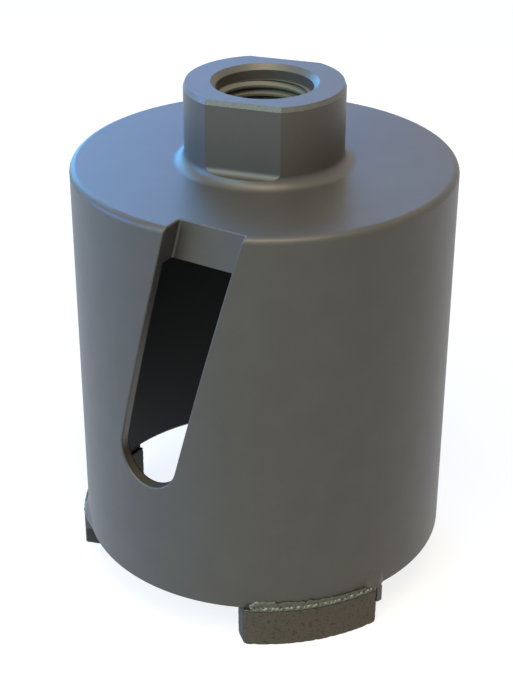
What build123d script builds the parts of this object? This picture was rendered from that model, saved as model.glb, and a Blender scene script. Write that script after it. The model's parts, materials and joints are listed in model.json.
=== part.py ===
from build123d import *

import os
from math import cos, radians, sin, tan

# Dry core bit for drilling socket boxes: a turned crown with a threaded hub and two wrench flats,
# a slotted steel barrel, and three sintered segments brazed to the barrel's open edge.
#
# Frame: +Z runs up the axis and out of the hub, the wrench flats face -Y and +Y, and z = 0 is the
# plane of the segments' cutting faces. Azimuths are counted from -Y towards +X. Millimetres.

# Barrel
barrel_diameter = 66.0
barrel_wall = 2.0
body_height = 69.8          # from the barrel's open edge to the crown's face
mouth_bevel = 0.8           # inside edge of the open end
edge_break = 0.25           # dulled sharp edges

# Crown
crown_thickness = 7.0
crown_lip = 4.0             # the part of that thickness which has the barrel's full diameter
rim_radius = 1.1

# Hub
hub_diameter = 27.2
hub_height = 13.75
hub_bevel_height = 0.8
hub_bevel_depth = 0.3       # how far it cuts in from the side
hub_foot_radius = 2.0
across_flats = 24.0
flat_sill = 1.4             # height of the sill below each flat, over the crown's face
flat_foot_radius = 1.1

# Bore of the hub
thread_diameter = 16.0
relief_diameter = 16.4      # smooth entry above the thread
relief_depth = 2.5
countersink_diameter = 18.2

# Slot, milled square to one line through the axis
slot_azimuth = -14.0
slot_width = 11.7
slot_slant = 14.5           # the top leans this many degrees towards +X
slot_offset = 8.1           # centre of the slot in the crown's face, sideways from that line
slot_height = 26.65         # centre of the lower round, over the barrel's open edge
slot_floor = 28.5           # distance of the pocket's floor in the crown from the axis
slot_floor_radius = 0.4

# Segments
segment_count = 3
segment_azimuth = 32.7
segment_length = 24.5
segment_thickness = 3.5
segment_drop = 7.3          # how far the segments stand below the barrel's open edge
segment_proud = 1.0         # how far they stand out of the barrel's side
segment_bevel = 0.3

# Braze
braze_gap = 0.15            # filler between the barrel's edge and a segment
braze_rise = 0.6            # height of the bead on the ledge outside the barrel
cheek_length = 1.1          # filler past each end of a segment
cheek_drop = 3.1            # how far the cheeks reach below the barrel's edge
cheek_climb = 3.0           # how far they climb the barrel's side
cheek_overlap = 1.0         # how far the climbing part reaches back over the segment
cheek_thickness = 1.8       # how far in they reach from the segments' outer face

# Radii and heights that follow
barrel_radius = barrel_diameter / 2
inner_radius = barrel_radius - barrel_wall
hub_radius = hub_diameter / 2
thread_radius = thread_diameter / 2
relief_radius = relief_diameter / 2
countersink_radius = countersink_diameter / 2
segment_outer_radius = barrel_radius + segment_proud
segment_inner_radius = segment_outer_radius - segment_thickness
edge_z = segment_drop
face_z = edge_z + body_height
crown_under_z = face_z - crown_thickness
joint_z = face_z - crown_lip
hub_top_z = face_z + hub_height
relief_z = hub_top_z - relief_depth
reach = 2 * (barrel_diameter + body_height)   # longer than the whole bit, for cutting tools


def direction(azimuth):
    """Unit vector out from the axis at an azimuth counted from -Y towards +X."""
    return Vector(sin(radians(azimuth)), -cos(radians(azimuth)), 0)


def outward_plane(azimuth, distance=0.0):
    """Plane square to an azimuth: local x runs sideways, local y is +Z, local z points outward."""
    out = direction(azimuth)
    return Plane(origin=out * distance, x_dir=direction(azimuth + 90), z_dir=out)


def band(low, high):
    """A slab between two heights, wider than the bit."""
    return Pos(0, 0, (low + high) / 2) * Box(reach, reach, high - low)


def turned_body():
    """Crown, hub and barrel as one turned form, before any milling."""
    countersink_depth = countersink_radius - relief_radius
    outline = Polyline(
        (inner_radius + mouth_bevel, edge_z),
        (barrel_radius, edge_z),
        (barrel_radius, face_z),
        (hub_radius, face_z),
        (hub_radius, hub_top_z - hub_bevel_height),
        (hub_radius - hub_bevel_depth, hub_top_z),
        (countersink_radius, hub_top_z),
        (relief_radius, hub_top_z - countersink_depth),
        (relief_radius, relief_z),
        (thread_radius, relief_z),
        (thread_radius, crown_under_z),
        (inner_radius, crown_under_z),
        (inner_radius, edge_z + mouth_bevel),
        close=True,
    )
    section = make_face(outline)
    rim = section.vertices().sort_by_distance((barrel_radius, face_z))[0]
    section = fillet(rim, rim_radius)
    foot = section.vertices().sort_by_distance((hub_radius, face_z))[0]
    section = fillet(foot, hub_foot_radius)
    return revolve(Plane.XZ * section, Axis.Z)


def flat_cutter(azimuth):
    """Milling tool for one wrench flat: a radius along the flat's foot, a bevel along its top."""
    flat = across_flats / 2
    foot_z = face_z + flat_sill
    outline = Polyline(
        (flat, foot_z),
        (flat, hub_top_z - hub_bevel_height),
        (flat - hub_bevel_depth, hub_top_z),
        (hub_diameter, hub_top_z),
        (hub_diameter, foot_z),
        close=True,
    )
    section = make_face(outline)
    foot = section.vertices().sort_by_distance((flat, foot_z))[0]
    tool = extrude(Plane.XZ * fillet(foot, flat_foot_radius), hub_diameter, both=True)
    return Rot(0, 0, azimuth - 90) * tool


def slot_outline():
    """The slot seen square on: a round lower end and parallel sides that run out of the top."""
    length = hub_top_z - edge_z
    shape = Circle(slot_width / 2) + Pos(0, length / 2) * Rectangle(slot_width, length)
    lean = (body_height - slot_height) * tan(radians(slot_slant))
    return Pos(slot_offset - lean, edge_z + slot_height) * Rot(0, 0, -slot_slant) * shape


def slot_cutter():
    """A through cut below the crown, and a pocket with a flat floor in the crown itself."""
    through = extrude(outward_plane(slot_azimuth) * slot_outline(), reach)
    through &= band(edge_z, crown_under_z)
    pocket = extrude(outward_plane(slot_azimuth, slot_floor) * slot_outline(), barrel_radius)
    floor = pocket.faces().sort_by(Axis(origin=(0, 0, 0), direction=direction(slot_azimuth)))[0]
    pocket = fillet(floor.edges(), slot_floor_radius)
    pocket &= band(crown_under_z, hub_top_z + hub_height)
    return through + pocket


def milled_body():
    """The turned form with its flats, its slot and its dulled edges."""
    body = turned_body()
    for azimuth in (0, 180):
        body -= flat_cutter(azimuth)
    slotted = body - slot_cutter()
    lips = new_edges(body, combined=slotted).filter_by(on_outside)
    return fillet(lips, edge_break)


def on_outside(edge):
    """True for an edge of the slot on the barrel's side, its rim or the crown's face."""
    middle = edge @ 0.5
    on_side = Vector(middle.X, middle.Y, 0).length > barrel_radius - rim_radius
    return on_side or middle.Z > face_z - rim_radius / 2


def crown_space():
    """The space of the crown: a lip as wide as the barrel over a spigot that fills its bore."""
    lip = band(joint_z, hub_top_z + hub_height)
    spigot = Pos(0, 0, crown_under_z) * Cylinder(
        inner_radius, joint_z - crown_under_z, align=(Align.CENTER, Align.CENTER, Align.MIN)
    )
    return lip + spigot


def slab(azimuth, half_width, low, high):
    """A block on one side of the axis, centred on an azimuth, between two heights."""
    block = Rectangle(2 * half_width, high - low)
    return extrude(outward_plane(azimuth) * Pos(0, (low + high) / 2) * block, reach)


def ring(outer, inner, low, high):
    """A plain ring between two radii and two heights."""
    base = (Align.CENTER, Align.CENTER, Align.MIN)
    return Pos(0, 0, low) * (
        Cylinder(outer, high - low, align=base) - Cylinder(inner, high - low, align=base)
    )


def segment(azimuth):
    """A sintered segment: a stretch of ring with parallel ends and slightly dulled corners."""
    height = segment_drop - braze_gap
    shape = ring(segment_outer_radius, segment_inner_radius, 0, height)
    shape &= slab(azimuth, segment_length / 2, 0, height)
    ends = shape.edges().filter_by(Axis.Z)
    bottom = shape.faces().sort_by(Axis.Z)[0].edges()
    return chamfer(ends + bottom, segment_bevel)


def cheek_section():
    """Half section of a cheek: beside the segment below the edge, a ramp up the barrel above it."""
    bottom_z = edge_z - cheek_drop
    cheek_radius = segment_outer_radius - cheek_thickness
    outline = Polyline(
        (cheek_radius, bottom_z),
        (segment_outer_radius, bottom_z),
        (segment_outer_radius, edge_z + braze_rise),
        (barrel_radius, edge_z + cheek_climb),
        (barrel_radius, edge_z),
        (cheek_radius, edge_z),
        close=True,
    )
    return Plane.XZ * make_face(outline)


def braze(azimuth):
    """The filler of one segment: a thin joint layer, a bead on the ledge and a cheek at each end."""
    half = segment_length / 2
    low, top = edge_z - braze_gap, edge_z + braze_rise
    layer = ring(segment_outer_radius, inner_radius, low, top) & slab(azimuth, half, low, top)
    both_ends = slab(azimuth, half + cheek_length, 0, face_z)
    both_ends -= slab(azimuth, half - cheek_overlap, 0, face_z)
    cheeks = revolve(cheek_section(), Axis.Z) & both_ends
    shape = layer + cheeks - ring(barrel_radius, 0, edge_z, face_z)
    return shape - slab(azimuth, half, 0, low)


def save(name, shape):
    """Write one piece to its own file."""
    export_step(shape, f"parts/{name}.step")


os.makedirs("parts", exist_ok=True)
body = milled_body()
save("crown", body & crown_space())
save("barrel", body - crown_space())
for number in range(segment_count):
    azimuth = segment_azimuth + number * 360 / segment_count
    save(f"segment_{number + 1}", segment(azimuth))
    save(f"braze_{number + 1}", braze(azimuth))
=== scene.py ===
# %% [markdown]
# # A dry core bit, dressed for its picture
#
# The solids of the bit come ready made: a turned crown, a slotted barrel, three abrasive segments
# and the braze that holds them. This script gives every surface its finish, and models what is too
# fine for the solids: the turns of the thread, the sintered skin of the segments and the uneven
# filler around them.
#
# The first step loads the solids as a fixed frame. They are never moved or edited. Every length
# below is in metres, so `mm` turns a workshop size into the script's own unit.

import json
from math import cos, pi, radians, sin, sqrt, tan

import bmesh
import bpy
from mathutils import Matrix, Vector, noise


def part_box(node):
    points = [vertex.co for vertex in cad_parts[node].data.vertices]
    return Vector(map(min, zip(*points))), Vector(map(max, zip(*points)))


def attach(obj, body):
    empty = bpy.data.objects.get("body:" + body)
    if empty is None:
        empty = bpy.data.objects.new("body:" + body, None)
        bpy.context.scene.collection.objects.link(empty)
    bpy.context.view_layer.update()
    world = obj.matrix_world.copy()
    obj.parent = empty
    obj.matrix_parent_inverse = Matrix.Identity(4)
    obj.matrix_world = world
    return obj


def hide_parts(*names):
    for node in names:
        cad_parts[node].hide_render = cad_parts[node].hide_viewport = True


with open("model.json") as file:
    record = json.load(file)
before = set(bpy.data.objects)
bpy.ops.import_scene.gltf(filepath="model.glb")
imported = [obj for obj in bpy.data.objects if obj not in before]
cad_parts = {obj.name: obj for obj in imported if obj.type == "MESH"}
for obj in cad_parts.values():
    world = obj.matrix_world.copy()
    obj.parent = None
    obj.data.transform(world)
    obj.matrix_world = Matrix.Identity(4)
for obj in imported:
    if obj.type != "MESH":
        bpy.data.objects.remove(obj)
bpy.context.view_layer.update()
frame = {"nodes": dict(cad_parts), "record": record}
mm = 0.001
mounts = {mount["name"]: mount for mount in frame["record"]["mounts"]}
print("nodes:", ", ".join(sorted(frame["nodes"])))

# %% [markdown]
# ## Sizes that come from the solids
#
# What is modelled here has to sit on the solids, so its sizes are read from them: the barrel's
# radius and the height of its open edge, and the place and length of the thread.

# %% Read the frame's sizes
barrel_low, barrel_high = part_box("barrel")
barrel_radius = barrel_high.x
edge_z = barrel_low.z
hub_top_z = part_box("crown")[1].z

thread_mount = mounts["spindle_thread"]
thread_radius = thread_mount["dims"]["r_mm"] * mm
thread_length = thread_mount["dims"]["length_mm"] * mm
thread_top = thread_mount["pos_m"][2] + thread_length / 2
thread_bottom = thread_top - thread_length
print(f"barrel radius {barrel_radius / mm:.1f} mm, open edge at {edge_z / mm:.1f} mm")
print(f"thread from {thread_bottom / mm:.1f} to {thread_top / mm:.1f} mm")

# %% [markdown]
# ## Camera
#
# A product picture of a small tool is taken with a long lens from a little above. The camera
# stands some 250 mm from the axis and looks down by 29 degrees, so that the top of the hub, the
# slot and one segment all show. It is turned a little off the axis and rolled a trifle, as a
# camera in the hand is. Azimuths are counted from -Y towards +X.

# %% Place the camera
camera_azimuth = radians(17.24)
camera_distance = 247.51 * mm        # from the axis, measured level
camera_height = 175.38 * mm
camera_pitch = radians(28.67)
camera_turn = radians(0.295)
camera_roll = radians(0.139)
camera_lens = 80.12          # millimetres, on a 36 mm sensor


def direction(azimuth, elevation=0.0):
    """Unit vector out from the axis, for an azimuth from -Y towards +X and an elevation."""
    flat = Vector((sin(azimuth), -cos(azimuth), 0)) * cos(elevation)
    return flat + Vector((0, 0, sin(elevation)))


camera_data = bpy.data.cameras.new("camera")
camera_data.lens = camera_lens
camera_data.clip_start = 10 * mm
camera = bpy.data.objects.new("camera", camera_data)
bpy.context.collection.objects.link(camera)
camera.location = direction(camera_azimuth) * camera_distance + Vector((0, 0, camera_height))
heading = Matrix.Rotation(camera_azimuth + camera_turn, 4, "Z")
tilt = Matrix.Rotation(pi / 2 - camera_pitch, 4, "X")
camera.rotation_euler = (heading @ tilt @ Matrix.Rotation(camera_roll, 4, "Z")).to_euler()
bpy.context.scene.camera = camera
print("camera at", tuple(round(value / mm, 1) for value in camera.location), "mm")

# %% [markdown]
# ## Node trees as sums
#
# A material is a tree of nodes. Wiring a dozen Math nodes by hand hides the idea behind it, so a
# small class wraps one output socket and lets Python's own signs add the nodes: `1 - mask` or
# `(radius < limit) * 0.5` each become Math nodes. Any other node comes from `Tree.node`, which
# takes its type, its settings, and the values or links of its sockets.

# %% A socket that takes part in sums
class Wire:
    """An output socket; a sum on it adds a Math node to its tree."""

    def __init__(self, tree, socket):
        self.tree = tree
        self.socket = socket

    def math(self, operation, *values):
        """A Math node of that operation, fed with the given wires and numbers."""
        inputs = dict(enumerate(values))
        return self.tree.node("ShaderNodeMath", {"operation": operation}, inputs)

    def __add__(self, other):
        return self.math("ADD", self, other)

    def __sub__(self, other):
        return self.math("SUBTRACT", self, other)

    def __rsub__(self, other):
        return self.math("SUBTRACT", other, self)

    def __mul__(self, other):
        return self.math("MULTIPLY", self, other)

    def __pow__(self, other):
        return self.math("POWER", self, other)

    def __lt__(self, other):
        return self.math("LESS_THAN", self, other)

    def __gt__(self, other):
        return self.math("GREATER_THAN", self, other)

    __radd__ = __add__
    __rmul__ = __mul__


class Tree:
    """A node tree with one way to add a node and the usual short cuts."""

    def __init__(self, node_tree):
        self.node_tree = node_tree

    def connect(self, value, socket):
        """Link a wire to a socket, or write a plain value on it."""
        if isinstance(value, Wire):
            self.node_tree.links.new(value.socket, socket)
        else:
            socket.default_value = value

    def node(self, kind, settings=None, inputs=None, output=0):
        """Add a node: first its settings, then its sockets; the result is one of its outputs."""
        made = self.node_tree.nodes.new(kind)
        for name, value in (settings or {}).items():
            if name == "stops":
                self.set_stops(made.color_ramp, value)
            else:
                setattr(made, name, value)
        for name, value in (inputs or {}).items():
            self.connect(value, made.inputs[name])
        return Wire(self, made.outputs[output])

    @staticmethod
    def set_stops(ramp, stops):
        """Give a colour ramp its stops, each a place and a brightness."""
        while len(ramp.elements) < len(stops):
            ramp.elements.new(1.0)
        for element, (place, level) in zip(ramp.elements, stops):
            element.position = place
            element.color = (level, level, level, 1)

    def ramp(self, factor, *stops):
        return self.node("ShaderNodeValToRGB", {"stops": stops}, {"Fac": factor})

    def mix(self, factor, first, second):
        """Blend two colours, or two wires that carry colours."""
        inputs = {0: factor, 6: first, 7: second}
        return self.node("ShaderNodeMix", {"data_type": "RGBA"}, inputs, output=2)

    def noise(self, vector, size, detail=2.0, roughness=0.5):
        """Noise whose lumps are about `size` metres across."""
        inputs = {"Vector": vector, "Scale": 1 / size, "Detail": detail, "Roughness": roughness}
        return self.node("ShaderNodeTexNoise", None, inputs)

    def cells(self, vector, size):
        """The distance to the nearest of many points that lie about `size` metres apart."""
        inputs = {"Vector": vector, "Scale": 1 / size}
        return self.node("ShaderNodeTexVoronoi", None, inputs)

    def attribute(self, name):
        """A value that each point of the mesh carries under this name."""
        return self.node("ShaderNodeAttribute", {"attribute_name": name}, output="Fac")

    def object_coordinates(self):
        return self.node("ShaderNodeTexCoord", output="Object")

    def split(self, vector):
        """The x, y and z of a vector, as three wires."""
        first = self.node("ShaderNodeSeparateXYZ", None, {"Vector": vector})
        outputs = first.socket.node.outputs
        return tuple(Wire(self, socket) for socket in outputs)

    def combine(self, x, y, z):
        return self.node("ShaderNodeCombineXYZ", None, {"X": x, "Y": y, "Z": z})


class Finish(Tree):
    """A material with a Principled shader."""

    def __init__(self, name):
        self.material = bpy.data.materials.new(name)
        self.material.use_nodes = True
        super().__init__(self.material.node_tree)
        self.shader = self.node_tree.nodes["Principled BSDF"]

    def set(self, **values):
        """Values or wires for the shader's sockets; an underscore stands for a space."""
        for name, value in values.items():
            self.connect(value, self.shader.inputs[name.replace("_", " ")])

    def bump(self, *layers):
        """Bump layers, each a height wire in metres, stacked into the shader's Normal."""
        normal = None
        for height in layers:
            inputs = {"Height": height, "Distance": 1.0}
            if normal:
                inputs["Normal"] = normal
            normal = self.node("ShaderNodeBump", None, inputs)
        self.set(Normal=normal)


print("wires take + - * ** < >")

# %% [markdown]
# ## Satin paint over blasted steel
#
# Crown and barrel are blasted with fine grit and sprayed with one thin coat of grey metallic
# paint. Up close such a coat is neither smooth nor flat: it keeps the pits of the blasting, about
# a quarter of a millimetre across, and the spray leaves soft clouds a few millimetres wide.
#
# The coat could be a plain grey with a roughness value. Instead, both scales are drawn with noise
# in object coordinates, so that they have their real size on every part and run on from the
# crown to the barrel without a step. Two masks on the distance from the axis and the height do
# the rest. Inside the barrel and under the crown the spray doesn't reach, and the bare wall is
# turned near-black as painted shade. On the hub's bevel and countersink, a band under the top is
# painted paler and warmer as a painted highlight.

# %% Mix the paint
barrel_wall = 2.0 * mm
bore_radius = barrel_radius - barrel_wall
ceiling_z = thread_bottom    # the crown's underside
paint_colour = (0.108, 0.098, 0.084, 1)
paint_cloud_colour = (0.116, 0.106, 0.091, 1)
pit_colour = (0.065, 0.065, 0.062, 1)
# Near-black for the unpainted inside, as painted shade.
inside_shade_colour = (0.012, 0.012, 0.013, 1)
pit_size = 0.26 * mm
pit_depth = 0.010 * mm
cloud_size = 5.0 * mm
paint_reach = 0.25 * mm      # how far the spray goes in past the bore's wall
skin = 0.03 * mm             # how far the edge of a mask keeps clear of a level face
# Painted highlight: a paler, warmer band under the hub's top, on the bevel and on the countersink.
highlight_band_height = 0.82 * mm   # below the hub's top
bevel_highlight_colour = (0.178, 0.170, 0.140, 1)
countersink_highlight_colour = (0.135, 0.127, 0.106, 1)
rim_width = 2.0 * mm         # outside the thread's radius; between the countersink and the bevel


def painted_steel():
    finish = Finish("satin_grey_paint")
    place = finish.object_coordinates()
    x, y, z = finish.split(place)
    radius = (x ** 2 + y ** 2) ** 0.5
    pits = finish.noise(place, pit_size, detail=3.0, roughness=0.6)
    clouds = finish.noise(place, cloud_size, detail=3.0)
    cloudy = finish.ramp(clouds, (0.35, 0.0), (0.65, 1.0))
    coat = finish.mix(cloudy, paint_colour, paint_cloud_colour)
    coat = finish.mix(finish.ramp(pits, (0.28, 0.35), (0.45, 0.0)), coat, pit_colour)

    # Painted highlight on the band under the hub's top, broken up by noise on the bevel.
    edge = (z > hub_top_z - highlight_band_height) * (z < hub_top_z - skin)
    bevel = radius > thread_radius + rim_width
    grit = finish.ramp(finish.noise(place, pit_size, detail=2.0), (0.35, 0.45), (0.6, 1.0))
    coat = finish.mix(edge * bevel * grit, coat, bevel_highlight_colour)
    coat = finish.mix(edge * (1 - bevel), coat, countersink_highlight_colour)

    # Painted shade: the inside of the barrel and the crown's underside turn near-black, less
    # metallic and rougher.
    inside = (radius < bore_radius + paint_reach) * (z < ceiling_z + skin)
    inside = inside * (radius > thread_radius + paint_reach)
    finish.set(
        Base_Color=finish.mix(inside, coat, inside_shade_colour),
        Metallic=0.30 - 0.20 * inside,
        Roughness=0.40 + 0.10 * pits + 0.25 * inside,
    )
    finish.bump(pits * pit_depth)
    return finish.material


paint = painted_steel()
for name in ("crown", "barrel"):
    slots = frame["nodes"][name].data.materials
    slots.clear()
    slots.append(paint)
print("paint pits are", round(pit_size / mm, 2), "mm across")

# %% [markdown]
# ## The thread
#
# The solids leave the hub's bore plain, at the thread's outer radius. A thread is one groove, or,
# seen from the bore, one ridge that winds down the wall. A stack of rings would be quicker, but
# rings don't climb. So one four-sided section is spun about the axis while it rises by the pitch
# on each turn, which is how a tap cuts it. The ridge is spun longer than the bore at both ends and
# then cut off square, so its first and last turns run out as thin as on the real thing. It is
# bare steel, paler than the painted entry above it.

# %% Mix the cut steel
cut_colour = (0.23, 0.22, 0.175, 1)
cut_dull_colour = (0.19, 0.18, 0.145, 1)


def cut_steel():
    finish = Finish("cut_steel")
    marks = finish.noise(finish.object_coordinates(), pit_size, detail=2.0)
    finish.set(
        Base_Color=finish.mix(marks, cut_colour, cut_dull_colour),
        Metallic=0.2,
        Roughness=0.42 + 0.1 * marks,
    )
    return finish.material


cut_metal = cut_steel()
print("cut steel mixed")

# %% Spin the ridge of the thread
thread_pitch = 1.5 * mm
flank_angle = radians(30)
ridge_height = 0.812 * mm
ridge_crest = 0.36 * mm      # width of the flat on the ridge's crest
ridge_root = 0.1 * mm        # how far the ridge's foot is sunk in the wall
steps_per_turn = 96
thread_phase = radians(270)  # where round the bore the ridge starts
spare_turns = 2              # spun past the bore at each end, and cut off
thread_crease = radians(20)


def new_piece(name, mesh_builder, material, crease=pi):
    """Turn a bmesh into an object of the bit; edges that bend more than the crease stay sharp."""
    mesh = bpy.data.meshes.new(name)
    mesh_builder.normal_update()
    mesh_builder.to_mesh(mesh)
    mesh_builder.free()
    mesh.materials.append(material)
    mesh.shade_smooth()
    mesh.set_sharp_from_angle(angle=crease)
    piece = bpy.data.objects.new(name, mesh)
    bpy.context.collection.objects.link(piece)
    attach(piece, "root")
    return piece


def cut_level(shape, height, keep):
    """Cut a mesh off at a height and close it; keep is +1 for the upper part, -1 for the lower."""
    geometry = shape.verts[:] + shape.edges[:] + shape.faces[:]
    plane = {"plane_co": (0, 0, height), "plane_no": (0, 0, -keep)}
    bmesh.ops.bisect_plane(shape, geom=geometry, dist=1e-8, clear_outer=True, **plane)
    open_edges = [edge for edge in shape.edges if edge.is_boundary]
    bmesh.ops.holes_fill(shape, edges=open_edges)


def thread_ridge():
    """The ridge between the turns of the thread's groove, sunk a little in the bore's wall."""
    shape = bmesh.new()
    half_crest = ridge_crest / 2
    half_root = half_crest + (ridge_height + ridge_root) * tan(flank_angle)
    crest_radius = thread_radius - ridge_height
    root_radius = thread_radius + ridge_root
    start_z = thread_bottom - spare_turns * thread_pitch
    section = [
        (root_radius, -half_root),
        (crest_radius, -half_crest),
        (crest_radius, half_crest),
        (root_radius, half_root),
    ]
    corners = [shape.verts.new((radius, 0, start_z + height)) for radius, height in section]
    loop = shape.faces.new(corners).edges[:]
    bmesh.ops.delete(shape, geom=shape.faces[:], context="FACES_ONLY")
    turns = thread_length / thread_pitch + 2 * spare_turns
    bmesh.ops.spin(
        shape,
        geom=loop,
        axis=(0, 0, 1),
        dvec=(0, 0, thread_pitch / steps_per_turn),
        angle=turns * 2 * pi,
        steps=round(turns * steps_per_turn),
    )
    bmesh.ops.rotate(shape, verts=shape.verts[:], matrix=Matrix.Rotation(thread_phase, 3, "Z"))
    cut_level(shape, thread_top, keep=-1)
    cut_level(shape, thread_bottom, keep=1)
    bmesh.ops.recalc_face_normals(shape, faces=shape.faces[:])
    return shape


thread = new_piece("hub_thread", thread_ridge(), cut_metal, crease=thread_crease)
thread_turns = round(thread_length / thread_pitch, 1)
print("thread:", len(thread.data.polygons), "faces,", thread_turns, "turns")

# %% [markdown]
# ## Sintered segments
#
# A segment is metal powder and diamond grit, pressed and sintered. Its faces are matt and coarse,
# its edges crumble a little, and its long faces follow the barrel's curve while its ends are cut
# parallel. A ring sector made by a spin would have radial ends, so the segment starts as a
# straight block, cut into small even cells, and is bent: each point keeps its place along the
# block, and its depth becomes a radius. Noise then wears the corners and roughens the skin,
# always inwards, so that the piece never outgrows the solid it stands for.

# %% Blocks that are bent onto the barrel's curve
segment_count = 3
segment_azimuth = radians(32.7)
segment_length = 24.5 * mm
segment_thickness = 3.5 * mm
segment_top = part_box("segment_1")[1].z
segment_outer = -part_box("segment_3")[0].x
segment_azimuths = [
    segment_azimuth + turn * 2 * pi / segment_count for turn in range(segment_count)
]
skin_cell = 0.2 * mm
seed_stride = 7.3            # sets the noise of one seed apart from the next


def fine_block(length, depth, height, cell):
    """A box from s = -length/2, depth 0 and z = 0, cut into cells of about one size."""
    shape = bmesh.new()
    sizes = (length, depth, height)
    bmesh.ops.create_cube(shape, size=1.0)
    bmesh.ops.translate(shape, vec=(0, 0.5, 0.5), verts=shape.verts[:])
    bmesh.ops.scale(shape, vec=sizes, verts=shape.verts[:])
    for axis, size in enumerate(sizes):
        along = [edge for edge in shape.edges if edge_runs_along(edge, axis)]
        cuts = max(1, round(size / cell) - 1)
        bmesh.ops.subdivide_edges(shape, edges=along, cuts=cuts, use_grid_fill=True)
    return shape


def edge_runs_along(edge, axis):
    """True for an edge that lies along one of the axes, counted 0, 1, 2."""
    run = edge.verts[1].co - edge.verts[0].co
    return abs(run[axis]) > 0.9 * run.length


def bend(shape, azimuth, outer):
    """Bend a block (s, depth, z) onto the curve whose outer radius is given, at an azimuth."""
    for vert in shape.verts:
        s, depth, z = vert.co
        radius = outer - depth
        vert.co = (s, -sqrt(radius ** 2 - s ** 2), z)
    bmesh.ops.rotate(shape, verts=shape.verts[:], matrix=Matrix.Rotation(azimuth, 3, "Z"))


def lumps(point, size, seed):
    """Smooth noise between 0 and 1 whose lumps are about `size` metres across."""
    return 0.5 + 0.5 * noise.noise(point / size + Vector((seed, seed_stride * seed, -seed)))


def push_in(shape, depth_at):
    """Move every point inwards along its normal by what a function of its place says."""
    shape.normal_update()
    moves = [(vert, vert.normal * depth_at(vert.co)) for vert in shape.verts]
    for vert, move in moves:
        vert.co -= move


def wear_corners(shape, sizes, radius_at):
    """Round a straight block's edges by a radius that changes from place to place."""
    length, depth, height = sizes
    middle = Vector((0, depth / 2, height / 2))
    for vert in shape.verts:
        radius = radius_at(vert.co)
        place = vert.co - middle
        core = Vector([
            max(-size / 2 + radius, min(size / 2 - radius, value))
            for value, size in zip(place, sizes)
        ])
        out = place - core
        if out.length > radius:
            vert.co = middle + core + out.normalized() * radius


print("cells of", round(skin_cell / mm, 2), "mm")

# %% [markdown]
# The sintered material itself: brown-grey metal between countless dark and pale grains, with fine
# scratches that run round the bit where the segment has rubbed. The scratches need a pattern that
# follows the curve, so their coordinates are the angle, the radius and the height. The inner side
# and the ends are turned near-black as painted shade; each point marks the ends with its `end`
# value.

# %% Mix the sintered metal
grain_size = 0.30 * mm
blotch_size = 0.65 * mm
tint_size = 2.2 * mm
scratch_size = 0.3 * mm
scratch_rate = 0.2           # along the curve, so that scratches are five times as long as wide
speck_size = 0.6 * mm
end_shade_share = 0.9           # how far the ends go towards the dark tone, as painted shade
grain_depth = 0.06 * mm
blotch_depth = 0.10 * mm
sinter_olive = (0.112, 0.094, 0.062, 1)
sinter_brown = (0.134, 0.099, 0.073, 1)
sinter_dark = (0.030, 0.027, 0.019, 1)
sinter_pale = (0.26, 0.25, 0.20, 1)
inner_shade_depth = 0.5 * mm       # skin of the inner side, painted near-black as painted shade


def sintered_metal():
    finish = Finish("sintered_metal")
    place = finish.object_coordinates()
    x, y, z = finish.split(place)
    around = x.math("ARCTAN2", x, y) * segment_outer
    radius = (x ** 2 + y ** 2) ** 0.5
    grains = finish.noise(place, grain_size, detail=4.0, roughness=0.7)
    blotches = finish.noise(place, blotch_size, detail=3.0, roughness=0.6)
    tints = finish.noise(place, tint_size, detail=2.0)
    rubbed = finish.combine(around * scratch_rate, radius, z)
    scratches = finish.noise(rubbed, scratch_size, detail=2.0)
    specks = finish.cells(place, speck_size)
    colour = finish.mix(finish.ramp(tints, (0.35, 0.0), (0.65, 1.0)), sinter_olive, sinter_brown)
    colour = finish.mix(finish.ramp(grains, (0.36, 0.55), (0.55, 0.0)), colour, sinter_dark)
    colour = finish.mix(finish.ramp(blotches, (0.34, 0.85), (0.45, 0.0)), colour, sinter_dark)
    colour = finish.mix(finish.ramp(scratches, (0.66, 0.0), (0.78, 0.35)), colour, sinter_pale)
    colour = finish.mix(finish.ramp(specks, (0.05, 0.8), (0.12, 0.0)), colour, sinter_pale)
    # Painted shade: the inner side and the ends are mixed towards the dark tone.
    inner = radius < segment_outer - segment_thickness + inner_shade_depth
    end = finish.attribute("end")
    dark = inner.math("MAXIMUM", inner, end * end_shade_share)
    finish.set(
        Base_Color=finish.mix(dark, colour, sinter_dark),
        Metallic=0.2,
        Roughness=0.50 + 0.25 * grains,
    )
    finish.bump(grains * grain_depth, blotches * blotch_depth)
    return finish.material


sinter = sintered_metal()
print("grains of", round(grain_size / mm, 2), "mm")

# %% Press the segments
corner_wear = 0.14 * mm
corner_chip = 0.40 * mm
chip_size = 0.9 * mm
end_wear = 0.35 * mm         # more wear where a segment's end meets its outer face
skin_depth = 0.13 * mm
skin_lump = 0.45 * mm
skin_wave = 2.5 * mm
fine_share = 0.7             # of the skin's roughness; the rest are long waves
skin_seed, wave_seed = 10, 20


def segment_skin(number, azimuth):
    """A segment with worn corners and a rough skin."""
    sizes = (segment_length, segment_thickness, segment_top)
    shape = fine_block(*sizes, skin_cell)

    def corner_radius(place):
        chip = max(0.0, lumps(place, chip_size, number) - 0.5) * 2
        near_end = max(0.0, 1 - (segment_length / 2 - abs(place.x)) / (2 * end_wear))
        return corner_wear + corner_chip * chip + end_wear * near_end

    def roughness_at(place):
        fine = lumps(place, skin_lump, number + skin_seed)
        coarse = lumps(place, skin_wave, number + wave_seed)
        return skin_depth * (fine_share * fine + (1 - fine_share) * coarse)

    # Marks the ends, which the finish darkens as painted shade.
    end = shape.verts.layers.float.new("end")
    for vert in shape.verts:
        vert[end] = float(abs(vert.co.x) > segment_length / 2 - skin_cell / 2)
    wear_corners(shape, sizes, corner_radius)
    bend(shape, azimuth, segment_outer)
    push_in(shape, roughness_at)
    return shape


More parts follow.
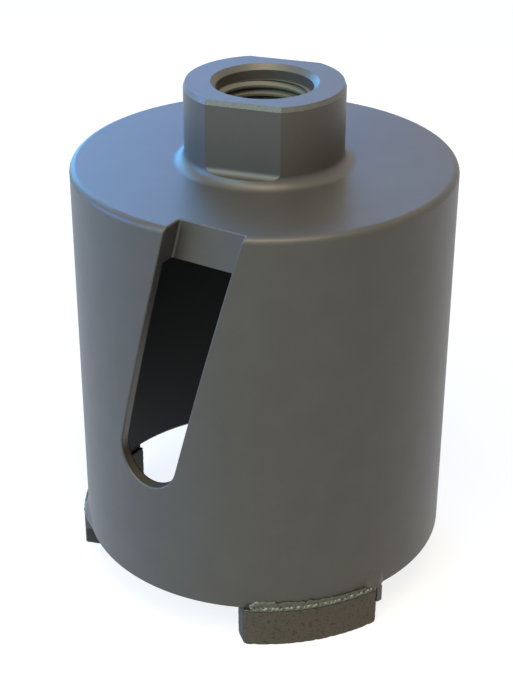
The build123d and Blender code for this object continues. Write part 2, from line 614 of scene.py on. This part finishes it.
for number, azimuth in enumerate(segment_azimuths):
    node = f"segment_{number + 1}"
    piece = new_piece(f"{node}_skin", segment_skin(number, azimuth), sinter)
    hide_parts(node)
    print(node, "has", len(piece.data.polygons), "faces")

# %% [markdown]
# ## Braze on the ledge
#
# The segments stand out from the barrel by a millimetre. On that narrow ledge the silver filler
# froze in a row of small beads along the outer edge. Behind them it climbs the barrel's side,
# high at one end and hardly at all at the other. The filler is one more bent block: its top is
# lifted by a profile across the ledge times noise along it. Each point also carries a `tone`, and
# the finish reads it: 0 is black, 1 is bare silver. The tone paints light and shade: the bead tops
# turn pale as bare silver and as painted highlight, a bright patch near the high end is a painted
# highlight, and black spots in the groove behind the beads, a thin dark line along the top of the
# climb and a pit near the high end are painted shade.

# %% Mix the filler
# The tone runs from this black, painted shade in the groove's spots, the line and the pit, through
# the filler's own colour to bare silver, which the bead tops reach partly as painted highlight.
painted_shade_colour = (0.012, 0.012, 0.009, 1)
filler_colour = (0.115, 0.118, 0.090, 1)
silver_colour = (0.38, 0.375, 0.33, 1)
stain_size = 0.45 * mm
stain_depth = 0.05 * mm
stain_share = 0.5            # how far the stains shift the tone


def silver_filler():
    finish = Finish("silver_filler")
    stains = finish.noise(finish.object_coordinates(), stain_size, detail=3.0)
    tone = finish.attribute("tone")
    shade = tone + stain_share * (stains - 0.5)
    dull = finish.mix(finish.ramp(shade, (0.10, 0.0), (0.32, 1.0)), painted_shade_colour, filler_colour)
    finish.set(
        Base_Color=finish.mix(finish.ramp(shade, (0.5, 0.0), (0.85, 1.0)), dull, silver_colour),
        Metallic=0.3,
        Roughness=0.36 + 0.2 * stains,
    )
    finish.bump(stains * stain_depth)
    return finish.material


silver = silver_filler()
print("filler mixed")

# %% Lay the beads
bead_cell = 0.12 * mm
ledge = segment_outer - barrel_radius
skin_clearance = 0.02 * mm
bead_size = 0.62 * mm        # half the usual distance between two beads
bead_crest = 0.27 * mm       # distance of the crest from the segment's outer face
bead_spread = 0.27 * mm
bead_least = 0.10 * mm
bead_most = 0.58 * mm
groove_height = 0.04 * mm
climb_start = 0.50 * mm      # where the filler starts to climb, from the segment's outer face
climb_end = 0.93 * mm
climb_high = 1.60 * mm       # height against the barrel, at the end with the high filler
climb_low = 0.50 * mm        # and at the other end
groove_shade_size = 0.5 * mm
shade_line_from = -6.5 * mm        # the thin line of painted shade starts here and runs to the low end
pit_from = -12.1 * mm        # a pit in the filler near the high end, darkened as painted shade, and a painted highlight patch past it
pit_to = -11.0 * mm
patch_to = -9.3 * mm
pit_lip = ledge / 5          # what is left of the ledge in front of the pit
sway_size, sway_reach = 1.3 * mm, 0.3 * mm
uneven_size = 0.8 * mm
uneven_least, uneven_span = 0.7, 0.6
bead_from, bead_full = 0.38, 0.60    # noise levels where a bead starts and where it is full
groove_shade_level = 0.45          # noise below this paints a black spot of painted shade in the groove
bead_seed, climb_seed, sway_seed, groove_shade_seed = 30, 40, 50, 70
shade_tone, pit_shade_tone, patch_highlight_tone = 0.0, -0.3, 0.62
filler_tone, crest_tone, bead_tone = 0.34, 0.12, 0.38    # the last two are added on the crest, for bare silver and painted highlight
climb_curve = 1.5            # above 1 the climb is hollow, as a fillet is
shade_line_rise, patch_highlight_rise = 0.85, 0.8    # shares of the climb above which the painted shade line and the painted highlight patch lie


def clamp(value):
    """The value, held between 0 and 1."""
    return max(0.0, min(1.0, value))


def ease(value):
    """A smooth step from 0 to 1."""
    step = clamp(value)
    return step * step * (3 - 2 * step)


def bead_strip(number, azimuth):
    """The thin layer over a segment, with the beads and the climb on its outer part."""
    layer = edge_z - segment_top
    shape = fine_block(segment_length - 2 * end_wear, segment_thickness, layer, bead_cell)
    tone = shape.verts.layers.float.new("tone")
    for vert in shape.verts:
        s, depth, z = vert.co
        if z > layer / 2 and depth < ledge:
            height, vert[tone] = filler_at(number, s, depth)
            vert.co.z += height
        vert.co.z += segment_top
    bend(shape, azimuth, segment_outer - skin_clearance)
    return shape


def filler_at(number, s, depth):
    """Height of the filler over the barrel's edge, and its tone with painted light and shade, at a
    place on the ledge.
    """
    along = Vector((s, 0, 0))
    lump = lumps(along, bead_size, number + bead_seed)
    blob = clamp((lump - bead_from) / (bead_full - bead_from))
    sway = (lumps(along, sway_size, number + sway_seed) - 0.5) * sway_reach
    across = max(0.0, 1 - ((depth - bead_crest - sway) / bead_spread) ** 2)
    bead = across * (bead_least + (bead_most - bead_least) * blob)

    rise = clamp((depth - climb_start) / (climb_end - climb_start))
    low_end = clamp(s / segment_length + 0.5)
    climb = climb_high + (climb_low - climb_high) * low_end
    climb *= ease((s - pit_from) / (patch_to - pit_from))
    lump = lumps(Vector((s, depth, 0)), uneven_size, number + climb_seed)
    uneven = uneven_least + uneven_span * lump
    height = max(groove_height, bead, climb * uneven * rise ** climb_curve)

    # Painted highlight on the bead tops, partly bare silver.
    bright = blob * ease((s - patch_to) / bead_size)
    tone = filler_tone + across * (crest_tone + bead_tone * bright)
    # Painted shade in the groove's spots, the line and the pit; painted highlight on the patch.
    in_groove = bead_crest + bead_spread < depth < climb_start + bead_cell
    if in_groove and lumps(along, groove_shade_size, number + groove_shade_seed) < groove_shade_level:
        tone = shade_tone
    if s > shade_line_from and rise > shade_line_rise:
        tone = shade_tone
    if pit_from < s < pit_to and depth > pit_lip:
        height, tone = 0.0, pit_shade_tone
    if pit_to < s < patch_to and rise > patch_highlight_rise:
        tone = patch_highlight_tone
    return height, tone


for number, azimuth in enumerate(segment_azimuths):
    node = f"braze_{number + 1}"
    strip = bead_strip(number, azimuth)
    bead = new_piece(f"braze_bead_{number + 1}", strip, silver)
    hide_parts(node)
    print(bead.name, "has", len(bead.data.polygons), "faces")

# %% [markdown]
# ## Run-out of the braze
#
# At one end of each segment the filler ran out. Part of it set beside the segment's end as a
# square cheek, and above it the filler crept a few millimetres up the barrel. Inside the barrel it
# filled the bevel of the mouth. The paint went over the outer part. The cheek is a small block with
# worn corners. The swelling on the barrel could be sculpted, but a rule is shorter: a thin block
# follows the barrel, and its thickness fades upwards and to both sides.

# %% Add the run-outs
runout_cell = 0.2 * mm
runout_skin = 0.08 * mm      # how far it stays inside the segment's outer face
cheek_length = 1.1 * mm
cheek_depth = 1.8 * mm
cheek_drop = 3.1 * mm
cheek_wear = 0.22 * mm
swell_from = -2.6 * mm       # along the barrel, from the segment's end
swell_to = [1.9 * mm, 3.5 * mm, 6.0 * mm]    # a different one at each segment
swell_fade = 1.6 * mm        # at its start
swell_end_fade = [reach - swell_fade / 5 for reach in swell_to]
swell_height = 3.8 * mm
swell_root = 0.3 * mm        # how far it reaches into the barrel's wall
swell_lump = 1.2 * mm
swell_least, swell_span = 0.8, 0.3
swell_seed = 60
lap = 0.1 * mm
mouth_bevel = 0.8 * mm       # inside edge of the barrel's open end


def cheek(azimuth):
    """Filler that set beside the end of a segment."""
    sizes = (cheek_length + lap, cheek_depth, cheek_drop + lap)
    shape = fine_block(*sizes, runout_cell)
    wear_corners(shape, sizes, lambda place: cheek_wear)
    middle = (segment_length + cheek_length - lap) / 2
    bmesh.ops.translate(shape, vec=(middle, 0, edge_z - cheek_drop), verts=shape.verts[:])
    bend(shape, azimuth, segment_outer - runout_skin)
    return shape


def swelling(number, azimuth):
    """Filler that crept up the barrel, thickest where it leaves the cheek."""
    length = swell_to[number] - swell_from
    shape = fine_block(length, swell_root, swell_height, runout_cell)
    for vert in shape.verts:
        s, depth, z = vert.co
        sides = ease((length / 2 + s) / swell_fade)
        sides *= ease((length / 2 - s) / swell_end_fade[number])
        lump = lumps(vert.co, swell_lump, number + swell_seed)
        uneven = swell_least + swell_span * lump
        full = sides * ease(1 - z / swell_height) * uneven
        thickness = swell_root - lap / 2 + (ledge - runout_skin) * full
        radius = barrel_radius - swell_root + thickness * (1 - depth / swell_root)
        vert.co.x += (segment_length + swell_from + swell_to[number]) / 2
        vert.co.y = segment_outer - radius
    bmesh.ops.translate(shape, vec=(0, 0, edge_z), verts=shape.verts[:])
    bend(shape, azimuth, segment_outer)
    return shape


def inner_fill(azimuth):
    """Filler that closes the bevel of the barrel's mouth over a segment."""
    sizes = (segment_length - 2 * end_wear, mouth_bevel, mouth_bevel + lap / 2)
    shape = fine_block(*sizes, runout_cell)
    bmesh.ops.translate(shape, vec=(0, 0, edge_z - lap / 2), verts=shape.verts[:])
    bend(shape, azimuth, bore_radius + mouth_bevel + skin_clearance)
    return shape


for number, azimuth in enumerate(segment_azimuths):
    runout = {
        "cheek": cheek(azimuth),
        "swelling": swelling(number, azimuth),
        "fill": inner_fill(azimuth),
    }
    for kind, shape in runout.items():
        piece = new_piece(f"braze_{kind}_{number + 1}", shape, paint)
        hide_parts(f"braze_{number + 1}")
        print(piece.name, "has", len(piece.data.polygons), "faces")

# %% [markdown]
# ## Floor, light and world
#
# Large soft lamps and white surroundings show a satin coat best, because the coat mirrors them
# blurred. One big warm lamp hangs above and in front and lights the front, the bevels and the
# thread. Four blue ones stand for the light of windows: two behind to the left give the crown's
# flat face its sheen, one from the left lights the edge of the barrel, and a paler one fills the
# left front.
#
# The floor and the surroundings are white to the camera and in reflections. The floor is grey and
# the surroundings are black for the light that falls on things, or they would wash out every
# shade, and the floor still shows the shadow of the bit.

# %% Lay the floor and light it
floor_half = 20.0
white = (1, 1, 1, 1)
floor_colour = (0.30, 0.30, 0.30, 1)
floor_glow = 0.84            # added for the camera and in reflections only


def seen_directly(tree):
    """1 for camera, glossy and transmission rays, 0 for the light that falls on things."""
    rays = [tree.node("ShaderNodeLightPath", output=name) for name in
            ("Is Camera Ray", "Is Glossy Ray", "Is Transmission Ray")]
    return rays[0].math("MAXIMUM", rays[0], rays[1].math("MAXIMUM", rays[1], rays[2]))


def floor_finish():
    finish = Finish("white_floor")
    finish.set(Base_Color=floor_colour, Roughness=0.9, Specular_IOR_Level=0.0)
    plain = Wire(finish, finish.shader.outputs[0])
    glow = finish.node("ShaderNodeEmission", None, {"Color": white, "Strength": floor_glow})
    both = finish.node("ShaderNodeAddShader", None, {0: plain, 1: glow})
    shown = finish.node("ShaderNodeMixShader", None, {0: seen_directly(finish), 1: plain, 2: both})
    output = finish.node_tree.nodes["Material Output"]
    finish.connect(shown, output.inputs["Surface"])
    return finish.material


floor_shape = bmesh.new()
bmesh.ops.create_grid(floor_shape, x_segments=1, y_segments=1, size=floor_half)
floor_mesh = bpy.data.meshes.new("floor")
floor_shape.to_mesh(floor_mesh)
floor_shape.free()
floor_mesh.materials.append(floor_finish())
floor = bpy.data.objects.new("floor", floor_mesh)
bpy.context.collection.objects.link(floor)

scene_world = bpy.data.worlds.new("surroundings")
scene_world.use_nodes = True
bpy.context.scene.world = scene_world
world_tree = Tree(scene_world.node_tree)
backdrop = scene_world.node_tree.nodes["Background"]
world_tree.connect(white, backdrop.inputs["Color"])
world_tree.connect(seen_directly(world_tree), backdrop.inputs["Strength"])


def soft_lamp(name, azimuth, elevation, colour, radiance, distance=1.4, side=0.75):
    """A square soft lamp that looks at the middle of the bit; its angles are in degrees."""
    data = bpy.data.lights.new(name, "AREA")
    data.shape = "SQUARE"
    data.size = side
    data.color = colour
    data.energy = radiance * pi * side ** 2
    lamp = bpy.data.objects.new(name, data)
    bpy.context.collection.objects.link(lamp)
    middle = Vector((0, 0, hub_top_z / 2))
    out = direction(radians(azimuth), radians(elevation))
    lamp.location = middle + out * distance
    lamp.rotation_euler = out.to_track_quat("Z", "Y").to_euler()
    lamp.visible_camera = False


warm = (1.0, 0.82, 0.56)
deep_blue = (0.05, 0.32, 1.0)
window_blue = (0.05, 0.46, 1.0)
pale_blue = (0.55, 0.93, 1.0)
soft_lamp("overhead_lamp", 18, 65, warm, radiance=5.2, distance=2.0, side=1.25)
soft_lamp("window_lamp", 225, 15, window_blue, radiance=7.2)
soft_lamp("sky_lamp", 210, 28, deep_blue, radiance=3.4)
soft_lamp("left_lamp", 286, 8, deep_blue, radiance=9.6)
soft_lamp("front_left_lamp", 330, 35, pale_blue, radiance=4.8)
print("lamps:", ", ".join(light.name for light in bpy.data.lights))

# %% [markdown]
# ## Finish
#
# The colours are shown as they are, with no film curve.

# %% Finish
bpy.context.scene.view_settings.view_transform = "Standard"
